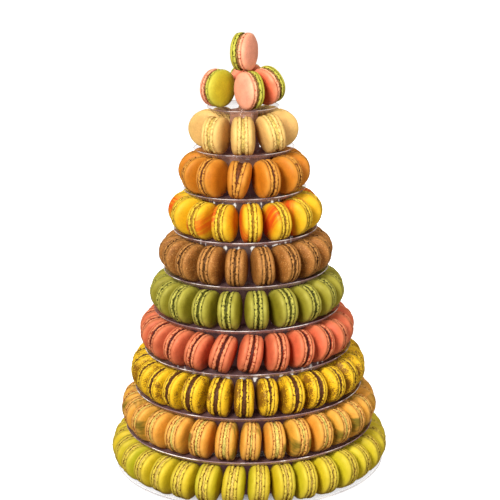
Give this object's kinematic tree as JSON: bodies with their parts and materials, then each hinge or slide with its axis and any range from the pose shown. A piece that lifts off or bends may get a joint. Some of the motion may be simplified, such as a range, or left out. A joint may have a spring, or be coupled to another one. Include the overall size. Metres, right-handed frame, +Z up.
{
  "type": "macaron tower",
  "caption": "Tower of clear stacking trays, each ringed with macarons on edge in its own colour, with a small group of macarons on top.",
  "frame": {"origin": "centre of the base tray's underside, on the tower's axis", "axes": "+Z up the tower's axis, -Y towards the front, +X to the right as seen from the front"},
  "size_m": [0.3114, 0.3114, 0.4875],
  "materials": {
    "clear_plastic": "clear, thin, glossy moulded plastic",
    "crown_shell": "baked almond shell, lime green on one side and salmon pink on the other, matte with a soft sheen",
    "vanilla_shell": "baked almond shell, pale beige, matte with a soft sheen",
    "caramel_shell": "baked almond shell, caramel orange, matte with a soft sheen",
    "lemon_shell": "baked almond shell, bright yellow with brushed orange strokes, matte with a soft sheen",
    "cocoa_shell": "baked almond shell, cocoa brown and grainy, matte",
    "green_shell": "baked almond shell, olive green, matte with a soft sheen",
    "coral_shell": "baked almond shell, coral red, matte with a soft sheen",
    "gold_shell": "baked almond shell, golden yellow dusted with brown, matte",
    "peach_shell": "baked almond shell, light orange smeared with olive green, matte with a soft sheen",
    "lime_shell": "baked almond shell, yellow green, matte with a soft sheen"
  },
  "bodies": {
    "root": {"tray_01": "clear_plastic", "tray_02": "clear_plastic", "tray_03": "clear_plastic", "tray_04": "clear_plastic", "tray_05": "clear_plastic", "tray_06": "clear_plastic", "tray_07": "clear_plastic", "tray_08": "clear_plastic", "tray_09": "clear_plastic", "tray_10": "clear_plastic", "crown_macaron_1": "crown_shell", "crown_macaron_2": "crown_shell", "crown_macaron_3": "crown_shell", "crown_macaron_4": "crown_shell", "crown_macaron_5": "crown_shell", "tier_02_macaron_01": "vanilla_shell", "tier_02_macaron_02": "vanilla_shell", "tier_02_macaron_03": "vanilla_shell", "tier_02_macaron_04": "vanilla_shell", "tier_02_macaron_05": "vanilla_shell", "tier_02_macaron_06": "vanilla_shell", "tier_02_macaron_07": "vanilla_shell", "tier_02_macaron_08": "vanilla_shell", "tier_03_macaron_01": "caramel_shell", "tier_03_macaron_02": "caramel_shell", "tier_03_macaron_03": "caramel_shell", "tier_03_macaron_04": "caramel_shell", "tier_03_macaron_05": "caramel_shell", "tier_03_macaron_06": "caramel_shell", "tier_03_macaron_07": "caramel_shell", "tier_03_macaron_08": "caramel_shell", "tier_03_macaron_09": "caramel_shell", "tier_03_macaron_10": "caramel_shell", "tier_03_macaron_11": "caramel_shell", "tier_03_macaron_12": "caramel_shell", "tier_04_macaron_01": "lemon_shell", "tier_04_macaron_02": "lemon_shell", "tier_04_macaron_03": "lemon_shell", "tier_04_macaron_04": "lemon_shell", "tier_04_macaron_05": "lemon_shell", "tier_04_macaron_06": "lemon_shell", "tier_04_macaron_07": "lemon_shell", "tier_04_macaron_08": "lemon_shell", "tier_04_macaron_09": "lemon_shell", "tier_04_macaron_10": "lemon_shell", "tier_04_macaron_11": "lemon_shell", "tier_04_macaron_12": "lemon_shell", "tier_04_macaron_13": "lemon_shell", "tier_04_macaron_14": "lemon_shell", "tier_05_ring": "cocoa_shell", "tier_06_ring": "green_shell", "tier_07_ring": "coral_shell", "tier_08_ring": "gold_shell", "tier_09_ring": "peach_shell", "tier_10_ring": "lime_shell"}
  },
  "joints": []
}
